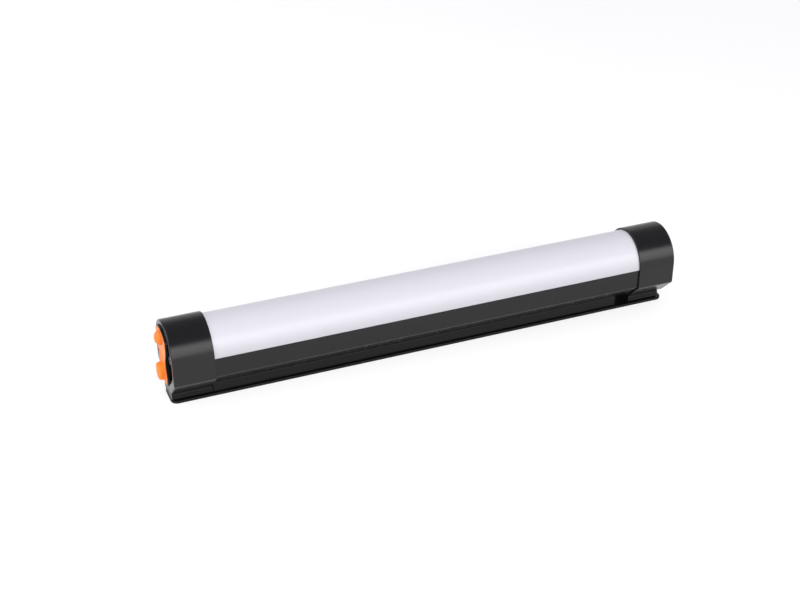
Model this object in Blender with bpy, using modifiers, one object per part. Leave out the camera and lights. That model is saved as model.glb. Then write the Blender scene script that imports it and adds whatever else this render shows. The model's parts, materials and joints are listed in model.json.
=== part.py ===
"""Rechargeable LED light tube: an opal half-round diffuser on a black channel, closed by two
black end caps, standing on a low magnetic base rail. The control end, with its orange bezel,
power button and charging port, is at -X. +Z is up and z = 0 is the underside of the rail."""
import math

import bmesh
import bpy

MM = 0.001
GAP = 0.3 * MM

# Overall tube
HALF_LENGTH = 180.5 * MM
CAP_RADIUS = 21.6 * MM
AXIS_Z = 34.0 * MM
CAP_CORNER_Z = 20.0 * MM
CAP_FLOOR_Z = 7.8 * MM
CAP_LENGTH = 27.5 * MM
CAP_CORNER_ROUND = 2.5 * MM

# End cap
RIM_WIDTH = 3.0 * MM
RIM_SLOPE_WIDTH = 5.5 * MM
RECESS_DEPTH = 2.0 * MM
END_WALL = 2.0 * MM

# Channel and diffuser
STEP_IN = 1.4 * MM
WALL = 1.8 * MM
BODY_FLOOR_Z = 10.1 * MM
BODY_FLOOR_THICKNESS = 1.2 * MM
BODY_CORNER_ROUND = 1.2 * MM
BODY_END_INSET = 5.8 * MM
LEDGE_TOP_Z = 30.7 * MM
LEDGE_DEPTH = 1.8 * MM
DIFFUSER_WALL = 2.0 * MM
LIP_DEPTH = 1.2 * MM
LIP_WIDTH = 1.5 * MM

# Base
RAIL_HALF_WIDTH = 10.3 * MM
RAIL_THICKNESS = 1.9 * MM
RAIL_CORNER = 4.5 * MM
SPINE_HALF_WIDTH = 9.4 * MM
SPINE_END_X = 142.3 * MM
LEFT_RISER_INSET = 0.4 * MM
RIGHT_RISER_INSET = 3.6 * MM
RISER_UNDERCUT_Z = 3.2 * MM
RISER_NECK_HALF_WIDTH = 8.2 * MM
MAGNET_RADIUS = 6.5 * MM
MAGNET_THICKNESS = 4.0 * MM
MAGNET_XS = [-120 * MM, -40 * MM, 40 * MM, 120 * MM]
RAIL_SCREW_XS = [-165 * MM, -80 * MM, 80 * MM, 165 * MM]

# Control end
BEZEL_TOP_RADIUS = 17.4 * MM
BEZEL_TOP_HALF_WIDTH = 11.4 * MM
BEZEL_WAIST_HALF_WIDTH = 6.8 * MM
BEZEL_FOOT_HALF_WIDTH = 9.3 * MM
BEZEL_SHOULDER_Z = 40.0 * MM
BEZEL_WAIST_Z = 29.5 * MM
BEZEL_HIP_Z = 22.0 * MM
BEZEL_BOTTOM_Z = 13.2 * MM
BEZEL_BOTTOM_ROUND = 6.5 * MM
BEZEL_HIP_ROUND = 14.0 * MM
BEZEL_WAIST_ROUND = 12.0 * MM
BEZEL_TOP_ROUND = 2.0 * MM
BEZEL_PROUD = 1.7 * MM
BEZEL_THICKNESS = 0.8 * MM
BEZEL_MARGIN = 0.5 * MM
BLANK_PROUD = 0.6 * MM
BUTTON_Z = 45.5 * MM
BUTTON_RADIUS = 4.6 * MM
BUTTON_ROUND = 3.4 * MM
BUTTON_PROUD = 5.3 * MM
STEM_RADIUS = 1.6 * MM
COVER_HALF_WIDTH = 5.4 * MM
COVER_BOTTOM_Z = 14.9 * MM
COVER_HINGE_Z = 33.0 * MM
COVER_THICKNESS = 2.0 * MM
TAB_HALF_WIDTH = 4.8 * MM
TAB_TOP_Z = 26.6 * MM
TAB_CORNER = 3.8 * MM
TAB_PROUD = 5.7 * MM
SOCKET_Z = 24.0 * MM
SOCKET_HALF_WIDTH = 4.47 * MM
SOCKET_HALF_HEIGHT = 1.63 * MM
SOCKET_LENGTH = 7.1 * MM
BOARD_INSET = 9.6 * MM
BOARD_THICKNESS = 1.6 * MM
BOARD_HALF_WIDTH = 8.5 * MM
BOARD_LOW_Z = 15.5 * MM
BOARD_HIGH_Z = 49.2 * MM

# Cap screws
CAP_SCREW_Y = 14.2 * MM
CAP_SCREW_Z = 36.0 * MM
CAP_SCREW_RADIUS = 1.5 * MM
CAP_SCREW_LENGTH = 14.3 * MM
BULKHEAD_INSET = 13.0 * MM
BULKHEAD_THICKNESS = 4.0 * MM

# Light engine
CARRIER_HALF_WIDTH = 17.9 * MM
CARRIER_THICKNESS = 1.4 * MM
CARRIER_END_INSET = 22.0 * MM
LED_BOARD_HALF_WIDTH = 8.0 * MM
LED_BOARD_HALF_LENGTH = 155.0 * MM
LED_BOARD_THICKNESS = 1.0 * MM
LED_SIZE = (3.5 * MM, 2.8 * MM, 1.6 * MM)
LED_COLUMNS = 24
LED_PITCH = 12.6 * MM
LED_ROW_Y = 4.0 * MM

# Battery
CELL_RADIUS = 9.2 * MM
CELL_LENGTH = 65.0 * MM
CELL_PITCH = 68.0 * MM
CELL_Z = 21.4 * MM
TRAY_HALF_WIDTH = 11.3 * MM
TRAY_WALL = 1.7 * MM
TRAY_LOW_Z = 15.5 * MM
TRAY_HIGH_Z = 24.0 * MM
WIRE_RADIUS = 0.6 * MM

ALONG_X = (math.pi / 2, 0.0, math.pi / 2)
ALONG_Y = (math.pi / 2, 0.0, 0.0)
ALONG_Z = (0.0, 0.0, 0.0)


def clear_scene():
    for item in list(bpy.data.objects):
        bpy.data.objects.remove(item, do_unlink=True)


def new_collection(name):
    collection = bpy.data.collections.new(name)
    bpy.context.scene.collection.children.link(collection)
    return collection


def make_material(name, colour, roughness, metallic=0.0):
    material = bpy.data.materials.new(name)
    material.use_nodes = True
    shader = material.node_tree.nodes["Principled BSDF"]
    shader.inputs["Base Color"].default_value = (*colour, 1.0)
    shader.inputs["Roughness"].default_value = roughness
    shader.inputs["Metallic"].default_value = metallic
    return material


# ---------------------------------------------------------------- outlines

def arc(centre, radius, start, end, steps):
    """Points on a circle from one angle to another, in degrees, both ends included."""
    points = []
    for index in range(steps + 1):
        angle = math.radians(start + (end - start) * index / steps)
        points.append((centre[0] + radius * math.cos(angle), centre[1] + radius * math.sin(angle)))
    return points


def fillet(corners, steps=4):
    """A closed outline from (u, v, radius) corners, each rounded by its own radius."""
    points = []
    count = len(corners)
    for index, (u, v, radius) in enumerate(corners):
        if radius <= 0.0:
            points.append((u, v))
            continue
        before = corners[index - 1]
        after = corners[(index + 1) % count]
        in_angle = math.atan2(before[1] - v, before[0] - u)
        out_angle = math.atan2(after[1] - v, after[0] - u)
        turn = (out_angle - in_angle + math.pi) % (2 * math.pi) - math.pi
        reach = radius / math.tan(abs(turn) / 2)
        middle = in_angle + turn / 2
        centre_distance = radius / math.sin(abs(turn) / 2)
        centre = (u + centre_distance * math.cos(middle), v + centre_distance * math.sin(middle))
        first = (u + reach * math.cos(in_angle), v + reach * math.sin(in_angle))
        last = (u + reach * math.cos(out_angle), v + reach * math.sin(out_angle))
        a0 = math.atan2(first[1] - centre[1], first[0] - centre[0])
        a1 = math.atan2(last[1] - centre[1], last[0] - centre[0])
        sweep = (a1 - a0 + math.pi) % (2 * math.pi) - math.pi
        points += arc(centre, radius, math.degrees(a0), math.degrees(a0 + sweep), steps)
    return points


def rectangle(u0, v0, u1, v1, radius=0.0, steps=4):
    return fillet([(u0, v0, radius), (u1, v0, radius), (u1, v1, radius), (u0, v1, radius)], steps)


def obround(centre_u, centre_v, half_width, half_height, steps=12):
    """A slot shape: two half circles joined by straight sides, upright or lying."""
    radius = min(half_width, half_height)
    if half_height >= half_width:
        rise = half_height - radius
        top = arc((centre_u, centre_v + rise), radius, 0, 180, steps)
        bottom = arc((centre_u, centre_v - rise), radius, 180, 360, steps)
        return top + bottom
    run = half_width - radius
    left = arc((centre_u - run, centre_v), radius, 90, 270, steps)
    right = arc((centre_u + run, centre_v), radius, -90, 90, steps)
    return left + right


def circle(centre_u, centre_v, radius, steps=24):
    return arc((centre_u, centre_v), radius, 0, 360, steps)[:-1]


def slope_shift(offset):
    """How far y runs ahead of z on the 45 degree underside, moved inwards by offset."""
    return CAP_RADIUS - CAP_CORNER_Z - offset * math.sqrt(2)


def hull_section(offset, floor_z, corner_round, slope_offset=None):
    """The tube's section moved inwards by offset: round top, straight sides, sloped underside.
    The slope may be moved in further than the rest."""
    half_width = CAP_RADIUS - offset
    shift = slope_shift(offset if slope_offset is None else slope_offset)
    corner_z = half_width - shift
    floor_y = floor_z + shift
    corners = [
        (-half_width, AXIS_Z, 0.0),
        (-half_width, corner_z, corner_round),
        (-floor_y, floor_z, corner_round / 2),
        (floor_y, floor_z, corner_round / 2),
        (half_width, corner_z, corner_round),
        (half_width, AXIS_Z, 0.0),
    ]
    crown = arc((0.0, AXIS_Z), half_width, 0, 180, 32)
    return fillet(corners) + crown[1:-1]


def bezel_outline(grow=0.0):
    """The end plates' waisted shape, moved outwards by grow: a round top, a narrow waist, a foot."""
    radius = BEZEL_TOP_RADIUS + grow
    top = BEZEL_TOP_HALF_WIDTH + grow
    waist = BEZEL_WAIST_HALF_WIDTH + grow
    foot = BEZEL_FOOT_HALF_WIDTH + grow
    angle = math.degrees(math.acos(top / radius))
    crown = arc((0.0, AXIS_Z), radius, angle, 180 - angle, 16)
    right = [
        (foot, BEZEL_BOTTOM_Z - grow, BEZEL_BOTTOM_ROUND), (foot, BEZEL_HIP_Z, BEZEL_HIP_ROUND),
        (waist, BEZEL_WAIST_Z, BEZEL_WAIST_ROUND), (top, BEZEL_SHOULDER_Z, BEZEL_HIP_ROUND),
        (*crown[0], BEZEL_TOP_ROUND),
    ]
    left = [(-y, z, radius) for y, z, radius in reversed(right)]
    return fillet(right + [(y, z, 0.0) for y, z in crown[2:-2]] + left)


# ---------------------------------------------------------------- solids

def curve_to_mesh_object(guide, collection, material):
    """The curve as a welded mesh object; the curve itself is removed."""
    bpy.context.view_layer.update()
    depsgraph = bpy.context.evaluated_depsgraph_get()
    mesh = bpy.data.meshes.new_from_object(guide.evaluated_get(depsgraph))
    builder = bmesh.new()
    builder.from_mesh(mesh)
    bmesh.ops.remove_doubles(builder, verts=builder.verts, dist=0.000005)
    bmesh.ops.recalc_face_normals(builder, faces=builder.faces)
    builder.to_mesh(mesh)
    builder.free()
    name = guide.name
    matrix = guide.matrix_world.copy()
    bpy.data.objects.remove(guide, do_unlink=True)
    solid = bpy.data.objects.new(name, mesh)
    solid.matrix_world = matrix
    collection.objects.link(solid)
    mesh.materials.clear()
    if material is not None:
        mesh.materials.append(material)
    return solid


def extrude(name, loops, low, high, rotation, collection, material=None):
    """A flat outline with optional holes, drawn out between low and high along its normal."""
    curve = bpy.data.curves.new(name, "CURVE")
    curve.dimensions = "2D"
    curve.fill_mode = "BOTH"
    curve.extrude = (high - low) / 2
    for loop in loops:
        spline = curve.splines.new("POLY")
        spline.points.add(len(loop) - 1)
        for point, (u, v) in zip(spline.points, loop):
            point.co = (u, v, 0.0, 1.0)
        spline.use_cyclic_u = True
    guide = bpy.data.objects.new(name, curve)
    bpy.context.scene.collection.objects.link(guide)
    middle = (low + high) / 2
    normal = {ALONG_X: (1, 0, 0), ALONG_Y: (0, -1, 0), ALONG_Z: (0, 0, 1)}[rotation]
    guide.rotation_euler = rotation
    guide.location = [middle * component for component in normal]
    return curve_to_mesh_object(guide, collection, material)


def section(name, loops, x0, x1, collection, material=None):
    """A solid whose outline lies across the tube, between two stations along it."""
    return extrude(name, loops, min(x0, x1), max(x0, x1), ALONG_X, collection, material)


def turned(name, profile, location, rotation, collection, material=None, steps=24):
    """A solid of revolution from (radius, height) points running down its outer side."""
    mesh = bpy.data.meshes.new(name)
    verts = [(radius, 0.0, height) for radius, height in profile]
    edges = [(index, index + 1) for index in range(len(verts) - 1)]
    mesh.from_pydata(verts, edges, [])
    solid = bpy.data.objects.new(name, mesh)
    collection.objects.link(solid)
    solid.location = location
    solid.rotation_euler = rotation
    screw = solid.modifiers.new("turn", "SCREW")
    screw.axis = "Z"
    screw.steps = steps
    screw.render_steps = steps
    screw.use_merge_vertices = True
    screw.merge_threshold = 0.00001
    screw.use_smooth_shade = True
    if material is not None:
        mesh.materials.append(material)
    return solid


def box(name, low, high, collection, material=None):
    mesh = bpy.data.meshes.new(name)
    builder = bmesh.new()
    bmesh.ops.create_cube(builder, size=1.0)
    for vert in builder.verts:
        for axis in range(3):
            vert.co[axis] = low[axis] + (vert.co[axis] + 0.5) * (high[axis] - low[axis])
    builder.to_mesh(mesh)
    builder.free()
    solid = bpy.data.objects.new(name, mesh)
    collection.objects.link(solid)
    if material is not None:
        mesh.materials.append(material)
    return solid


def apply_boolean(solid, tool, operation):
    tool.hide_render = True
    tool.display_type = "WIRE"
    modifier = solid.modifiers.new(operation.lower(), "BOOLEAN")
    modifier.operation = operation
    modifier.object = tool
    modifier.solver = "EXACT"


def cut(solid, *tools):
    for tool in tools:
        apply_boolean(solid, tool, "DIFFERENCE")


def fuse(solid, *tools):
    for tool in tools:
        apply_boolean(solid, tool, "UNION")


def bevel(solid, width, segments=2, angle=40.0):
    modifier = solid.modifiers.new("edges", "BEVEL")
    modifier.width = width
    modifier.segments = segments
    modifier.limit_method = "ANGLE"
    modifier.angle_limit = math.radians(angle)


def shade(solid):
    solid.data.shade_smooth()
    solid.data.set_sharp_from_angle(angle=math.radians(35))


def station(side, inset):
    """The X of a plane that lies inset from the cap's end, on side -1 or +1."""
    return side * (HALF_LENGTH - inset)


# ---------------------------------------------------------------- housing

def build_channel(parts, black):
    half = CAP_RADIUS - STEP_IN
    inner = half - WALL
    top = AXIS_Z - GAP / 2
    corner_z = half - slope_shift(STEP_IN)
    floor_y = BODY_FLOOR_Z + slope_shift(STEP_IN)
    inner_shift = slope_shift(STEP_IN + WALL)
    inner_floor_z = BODY_FLOOR_Z + BODY_FLOOR_THICKNESS
    inner_corner = (inner, inner - inner_shift, 0.0)
    inner_floor = (inner_floor_z + inner_shift, inner_floor_z, 0.0)
    ledge = inner - LEDGE_DEPTH
    ledge_low_z = LEDGE_TOP_Z - 1.5 * MM
    right = [
        (half, top, 0.0),
        (inner, top, 0.0),
        (inner, LEDGE_TOP_Z, 0.0),
        (ledge, LEDGE_TOP_Z, 0.0),
        (ledge, ledge_low_z, 0.0),
        (inner, ledge_low_z - LEDGE_DEPTH, 0.0),
        inner_corner,
        inner_floor,
    ]
    left = [(-y, z, radius) for y, z, radius in reversed(right)]
    outside = [
        (-half, corner_z, BODY_CORNER_ROUND),
        (-floor_y, BODY_FLOOR_Z, BODY_CORNER_ROUND / 2),
        (floor_y, BODY_FLOOR_Z, BODY_CORNER_ROUND / 2),
        (half, corner_z, BODY_CORNER_ROUND),
    ]
    outline = fillet(right + left + outside)
    ends = station(-1, BODY_END_INSET), station(1, BODY_END_INSET)
    shade(section("body_channel", [outline], *ends, parts, black))


def build_diffuser(parts, opal):
    outer = CAP_RADIUS - STEP_IN
    inner = outer - DIFFUSER_WALL
    seat_z = AXIS_Z + GAP / 2
    lip_outer = outer - WALL - GAP
    lip_inner = lip_outer - LIP_WIDTH
    lip_z = AXIS_Z - LIP_DEPTH
    spring_angle = math.degrees(math.asin((seat_z - AXIS_Z) / outer))
    inner_angle = math.degrees(math.acos(lip_inner / inner))
    crown = arc((0.0, AXIS_Z), outer, spring_angle, 180 - spring_angle, 40)
    hollow = arc((0.0, AXIS_Z), inner, 180 - inner_angle, inner_angle, 36)
    left_lip = [(-lip_outer, seat_z), (-lip_outer, lip_z), (-lip_inner, lip_z)]
    right_lip = [(lip_inner, lip_z), (lip_outer, lip_z), (lip_outer, seat_z)]
    outline = crown + left_lip + hollow + right_lip
    ends = station(-1, BODY_END_INSET), station(1, BODY_END_INSET)
    shade(section("diffuser", [outline], *ends, parts, opal))


def screw_clearance(name, side, y, inset0, inset1, cutters):
    loop = circle(y, CAP_SCREW_Z, CAP_SCREW_RADIUS + GAP)
    return section(name, [loop], station(side, inset0), station(side, inset1), cutters)


def build_cap(name, side, parts, cutters, black):
    outline = hull_section(0.0, CAP_FLOOR_Z, CAP_CORNER_ROUND)
    cap = section(name, [outline], station(side, 0), station(side, CAP_LENGTH), parts, black)
    shade(cap)
    cavity = hull_section(STEP_IN - GAP, BODY_FLOOR_Z - GAP, BODY_CORNER_ROUND)
    floor = RECESS_DEPTH + END_WALL
    reach = CAP_LENGTH + 5 * MM
    cut(cap, section(name + "_cavity", [cavity], station(side, floor), station(side, reach), cutters))
    rim = hull_section(RIM_WIDTH, CAP_FLOOR_Z + RIM_WIDTH, CAP_CORNER_ROUND / 2, RIM_SLOPE_WIDTH)
    depth = station(side, -2 * MM), station(side, RECESS_DEPTH)
    cut(cap, section(name + "_recess", [rim], *depth, cutters))
    for index, y in enumerate((-CAP_SCREW_Y, CAP_SCREW_Y), 1):
        cut(cap, screw_clearance(f"{name}_hole_{index}", side, y, 1 * MM, 6 * MM, cutters))
    return cap


def build_gasket(name, side, parts, rubber):
    outer = hull_section(STEP_IN, BODY_FLOOR_Z, BODY_CORNER_ROUND)
    inner = hull_section(STEP_IN + 2 * MM, BODY_FLOOR_Z + 2 * MM, BODY_CORNER_ROUND)
    start = station(side, RECESS_DEPTH + END_WALL + GAP)
    end = station(side, BODY_END_INSET - GAP)
    shade(section(name, [outer, inner], start, end, parts, rubber))


def build_bulkhead(name, side, parts, cutters, black):
    """The inner wall that the cap's screws pull against."""
    half_width = 16.2 * MM
    radius = CAP_RADIUS - STEP_IN - DIFFUSER_WALL - GAP
    angle = math.degrees(math.acos(half_width / radius))
    crown = arc((0.0, AXIS_Z), radius, angle, 180 - angle, 20)
    foot_z = BODY_FLOOR_Z + BODY_FLOOR_THICKNESS + 1 * MM
    foot_y = foot_z + slope_shift(STEP_IN + WALL + GAP)
    side_z = half_width - slope_shift(STEP_IN + WALL + GAP)
    outline = crown + [(-half_width, side_z), (-foot_y, foot_z), (foot_y, foot_z), (half_width, side_z)]
    x0 = station(side, BULKHEAD_INSET)
    x1 = station(side, BULKHEAD_INSET + BULKHEAD_THICKNESS)
    wall = section(name, [outline], x0, x1, parts, black)
    window = rectangle(-9 * MM, 16 * MM, 9 * MM, 29 * MM, 2 * MM)
    inset0 = BULKHEAD_INSET - 2 * MM
    inset1 = BULKHEAD_INSET + BULKHEAD_THICKNESS + 2 * MM
    cut(wall, section(name + "_window", [window], station(side, inset0), station(side, inset1), cutters))
    for index, y in enumerate((-CAP_SCREW_Y, CAP_SCREW_Y), 1):
        cut(wall, screw_clearance(f"{name}_hole_{index}", side, y, inset0, inset1, cutters))


def build_cap_screw(name, side, y, parts, cutters, steel):
    """A pan-head screw, head outwards, with a hexagon socket."""
    head_radius = 2.7 * MM
    head_height = 1.6 * MM
    profile = [
        (0.0, head_height),
        (head_radius - 0.5 * MM, head_height),
        (head_radius, head_height - 0.5 * MM),
        (head_radius, 0.0),
        (CAP_SCREW_RADIUS, 0.0),
        (CAP_SCREW_RADIUS, -CAP_SCREW_LENGTH + 1 * MM),
        (CAP_SCREW_RADIUS - 0.7 * MM, -CAP_SCREW_LENGTH),
        (0.0, -CAP_SCREW_LENGTH),
    ]
    location = (station(side, RECESS_DEPTH - GAP), y, CAP_SCREW_Z)
    screw = turned(name, profile, location, (0.0, side * math.pi / 2, 0.0), parts, steel)
    socket = circle(y, CAP_SCREW_Z, 1.2 * MM, steps=6)
    top = RECESS_DEPTH - GAP - head_height
    depth = station(side, top - 1 * MM), station(side, top + 1 * MM)
    cut(screw, section(name + "_socket", [socket], *depth, cutters))


# ---------------------------------------------------------------- base

def build_base(parts, cutters, black, steel, magnet_metal):
    plan = rectangle(-HALF_LENGTH, -RAIL_HALF_WIDTH, HALF_LENGTH, RAIL_HALF_WIDTH, RAIL_CORNER, 8)
    rail = extrude("base_rail", [plan], 0.0, RAIL_THICKNESS, ALONG_Z, parts, black)

    low = RAIL_THICKNESS + GAP
    high = BODY_FLOOR_Z - GAP
    spine_start = station(-1, CAP_LENGTH) + GAP
    side = SPINE_HALF_WIDTH
    outline = rectangle(-side, low, side, high, 0.4 * MM, 2)
    spine = section("magnet_spine", [outline], spine_start, SPINE_END_X, parts, black)

    risers = {}
    ends = ("left_riser", -1, LEFT_RISER_INSET), ("right_riser", 1, RIGHT_RISER_INSET)
    for name, direction, end_inset in ends:
        top = CAP_FLOOR_Z - GAP
        neck = RISER_NECK_HALF_WIDTH
        outline = fillet([
            (-neck, low, 0.0), (neck, low, 0.0), (neck, RISER_UNDERCUT_Z - 0.4 * MM, 0.0),
            (side, RISER_UNDERCUT_Z, 0.3 * MM), (side, top, 0.8 * MM),
            (-side, top, 0.8 * MM), (-side, RISER_UNDERCUT_Z, 0.3 * MM),
            (-neck, RISER_UNDERCUT_Z - 0.4 * MM, 0.0),
        ])
        x0 = station(direction, end_inset)
        x1 = station(direction, CAP_LENGTH)
        risers[direction] = section(name, [outline], x0, x1, parts, black)

    for index, x in enumerate(MAGNET_XS, 1):
        seat = low + GAP
        profile = [(0.0, MAGNET_THICKNESS), (MAGNET_RADIUS, MAGNET_THICKNESS)]
        profile += [(MAGNET_RADIUS, 0.0), (0.0, 0.0)]
        turned(f"magnet_{index}", profile, (x, 0.0, seat), ALONG_Z, parts, magnet_metal, 32)
        pocket = [circle(x, 0.0, MAGNET_RADIUS + GAP, 32)]
        ceiling = seat + MAGNET_THICKNESS + GAP
        cut(spine, extrude(f"magnet_pocket_{index}", pocket, low - 1 * MM, ceiling, ALONG_Z, cutters))

    for index, x in enumerate(RAIL_SCREW_XS, 1):
        build_rail_screw(f"rail_screw_{index}", x, rail, spine, risers, parts, cutters, steel)


def build_rail_screw(name, x, rail, spine, risers, parts, cutters, steel):
    """A countersunk screw driven up through the rail."""
    head_low = 0.25 * MM
    head_radius = 2.8 * MM
    shank = 1.3 * MM
    tip = 6.8 * MM
    cone_top = head_low + head_radius - shank
    profile = [
        (0.0, tip), (shank - 0.5 * MM, tip), (shank, tip - 0.5 * MM),
        (shank, cone_top), (head_radius, head_low), (0.0, head_low),
    ]
    screw = turned(name, profile, (x, 0.0, 0.0), ALONG_Z, parts, steel)
    socket = extrude(name + "_socket", [circle(x, 0.0, 1.0 * MM, 6)], -1 * MM, 1.2 * MM, ALONG_Z, cutters)
    cut(screw, socket)
    clear = shank + GAP
    wide = head_radius + 0.45 * MM + head_low + 1 * MM
    sink = [
        (0.0, tip + 0.5 * MM), (clear, tip + 0.5 * MM), (clear, cone_top + 0.45 * MM),
        (wide, -1 * MM), (0.0, -1 * MM),
    ]
    cutter = turned(name + "_sink", sink, (x, 0.0, 0.0), ALONG_Z, cutters)
    cut(rail, cutter)
    if x < station(-1, CAP_LENGTH):
        cut(risers[-1], cutter)
    elif x > station(1, CAP_LENGTH):
        cut(risers[1], cutter)
    else:
        cut(spine, cutter)


# ---------------------------------------------------------------- control end

def build_control_end(parts, cutters, cap, cap_black, orange, rubber, steel, board_green, black):
    """The orange bezel on its raised black base, with the button, port cover and boards behind."""
    side = -1
    seam = BEZEL_THICKNESS - BEZEL_PROUD
    hinge_radius = COVER_THICKNESS / 2
    opening = rectangle(
        -COVER_HALF_WIDTH - GAP, COVER_BOTTOM_Z - GAP,
        COVER_HALF_WIDTH + GAP, COVER_HINGE_Z + hinge_radius + GAP,
    )
    holes = [circle(0.0, BUTTON_Z, BUTTON_RADIUS + GAP), opening]
    x0, x1 = station(side, -BEZEL_PROUD), station(side, seam)
    shade(section("end_bezel", [bezel_outline(), *holes], x0, x1, parts, orange))
    x0, x1 = station(side, seam + GAP), station(side, RECESS_DEPTH - GAP)
    shade(section("bezel_base", [bezel_outline(BEZEL_MARGIN), *holes], x0, x1, parts, cap_black))

    build_button(parts, orange)
    build_port_cover(parts, cutters, rubber)
    build_socket(parts, cutters, steel)
    build_switch(parts, cutters, black)

    stem_hole = [circle(0.0, BUTTON_Z, STEM_RADIUS + 0.5 * MM)]
    clear_width = SOCKET_HALF_WIDTH + GAP
    clear_height = SOCKET_HALF_HEIGHT + GAP
    socket_hole = [obround(0.0, SOCKET_Z, clear_width, clear_height)]
    for name, loops in (("stem_hole", stem_hole), ("socket_hole", socket_hole)):
        cut(cap, section(name, loops, station(side, 1 * MM), station(side, 6 * MM), cutters))

    board = rectangle(-BOARD_HALF_WIDTH, BOARD_LOW_Z, BOARD_HALF_WIDTH, BOARD_HIGH_Z, 1 * MM)
    x0 = station(side, BOARD_INSET)
    x1 = station(side, BOARD_INSET + BOARD_THICKNESS)
    section("control_board", [board], x0, x1, parts, board_green)


def build_button(parts, orange):
    """A domed push button on a slim stem; it slides towards +X."""
    head_back = 0.9 * MM
    stem_back = 5.2 * MM
    rim = BUTTON_RADIUS - BUTTON_ROUND
    edge = arc((rim, BUTTON_PROUD - BUTTON_ROUND), BUTTON_ROUND, 90, 0, 6)
    profile = [(0.0, BUTTON_PROUD + 0.2 * MM), (rim * 0.6, BUTTON_PROUD + 0.1 * MM)] + edge
    profile += [(BUTTON_RADIUS, -head_back), (STEM_RADIUS, -head_back), (STEM_RADIUS, -stem_back)]
    profile += [(0.0, -stem_back)]
    location = (station(-1, 0), 0.0, BUTTON_Z)
    turned("power_button", profile, location, (0.0, -math.pi / 2, 0.0), parts, orange, 32)


def build_port_cover(parts, cutters, rubber):
    """A rubber flap with a half-round top edge on its hinge line, and a pull tab."""
    outer_x = station(-1, -BEZEL_PROUD)
    inner_x = outer_x + COVER_THICKNESS
    hinge_x = (outer_x + inner_x) / 2
    radius = COVER_THICKNESS / 2
    top = arc((hinge_x, COVER_HINGE_Z), radius, 0, 180, 10)
    outline = top + [(outer_x, COVER_BOTTOM_Z), (inner_x, COVER_BOTTOM_Z)]
    cover = extrude("port_cover", [outline], -COVER_HALF_WIDTH, COVER_HALF_WIDTH, ALONG_Y, parts, rubber)
    shade(cover)
    shape = rectangle(-TAB_HALF_WIDTH, COVER_BOTTOM_Z + GAP, TAB_HALF_WIDTH, TAB_TOP_Z, TAB_CORNER, 6)
    tab = section("tab_form", [shape], station(-1, -TAB_PROUD), outer_x + 1 * MM, cutters)
    bevel(tab, 1.4 * MM, 3, 60)
    fuse(cover, tab)
    pivot = bpy.data.objects.new("port_cover_hinge", None)
    pivot.location = (hinge_x, 0.0, COVER_HINGE_Z)
    parts.objects.link(pivot)
    bpy.context.view_layer.update()
    cover.parent = pivot
    cover.matrix_parent_inverse = pivot.matrix_world.inverted()


def build_socket(parts, cutters, steel):
    """A charging receptacle: a flat rounded shell around a tongue."""
    mouth = RECESS_DEPTH + 0.2 * MM
    shell = obround(0.0, SOCKET_Z, SOCKET_HALF_WIDTH, SOCKET_HALF_HEIGHT, 8)
    x0 = station(-1, mouth)
    x1 = station(-1, mouth + SOCKET_LENGTH)
    socket = section("charge_socket", [shell], x0, x1, parts, steel)
    wall = 0.35 * MM
    hollow = obround(0.0, SOCKET_Z, SOCKET_HALF_WIDTH - wall, SOCKET_HALF_HEIGHT - wall, 8)
    tongue = rectangle(-3.3 * MM, SOCKET_Z - 0.35 * MM, 3.3 * MM, SOCKET_Z + 0.35 * MM)
    depth = station(-1, mouth - 1 * MM), station(-1, mouth + 6.2 * MM)
    cut(socket, section("socket_hollow", [hollow, tongue], *depth, cutters))


def build_switch(parts, cutters, black):
    """The push switch on the control board, behind the button's stem."""
    front = 7.0 * MM
    back = BOARD_INSET - GAP
    plunger = 6.3 * MM
    half = 3.0 * MM
    low = (station(-1, front), -half, BUTTON_Z - half)
    high = (station(-1, back), half, BUTTON_Z + half)
    switch = box("power_switch", low, high, parts, black)
    knob = [circle(0.0, BUTTON_Z, 1.5 * MM, 16)]
    tool = section("switch_plunger", knob, station(-1, plunger), station(-1, front + 0.5 * MM), cutters)
    fuse(switch, tool)


def build_end_blank(parts, black):
    x0 = station(1, -BLANK_PROUD)
    x1 = station(1, RECESS_DEPTH - GAP)
    shade(section("end_blank", [bezel_outline()], x0, x1, parts, black))


# ---------------------------------------------------------------- light engine

def build_light_engine(parts, cutters, aluminium, white, dark):
    low = LEDGE_TOP_Z + GAP
    high = low + CARRIER_THICKNESS
    end = HALF_LENGTH - CARRIER_END_INSET
    width = CARRIER_HALF_WIDTH
    box("led_carrier", (-end, -width, low), (end, width, high), parts, aluminium)

    board_low = high + GAP
    board_high = board_low + LED_BOARD_THICKNESS
    length = LED_BOARD_HALF_LENGTH
    corners = (-length, -LED_BOARD_HALF_WIDTH, board_low), (length, LED_BOARD_HALF_WIDTH, board_high)
    board = box("led_board", *corners, parts, white)
    fuse(board, build_led_row("led_rows", board_high, cutters))

    x = -148 * MM
    y = 13 * MM
    base = high + GAP
    low = (x - 2.5 * MM, y - 2 * MM, base)
    high = (x + 2.5 * MM, y + 2 * MM, base + 4.5 * MM)
    receiver = box("ir_receiver", low, high, parts, dark)
    bevel(receiver, 0.8 * MM, 3)


def build_led_row(name, seat_z, collection):
    """Both rows of light-emitting chips, sunk a little into the board."""
    mesh = bpy.data.meshes.new(name)
    builder = bmesh.new()
    length, width, height = LED_SIZE
    for column in range(LED_COLUMNS):
        x = (column - (LED_COLUMNS - 1) / 2) * LED_PITCH
        for y in (-LED_ROW_Y, LED_ROW_Y):
            made = bmesh.ops.create_cube(builder, size=1.0)
            for vert in made["verts"]:
                vert.co.x = x + vert.co.x * length
                vert.co.y = y + vert.co.y * width
                vert.co.z = seat_z + vert.co.z * height
    builder.to_mesh(mesh)
    builder.free()
    rows = bpy.data.objects.new(name, mesh)
    collection.objects.link(rows)
    return rows


# ---------------------------------------------------------------- battery and boards

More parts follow.
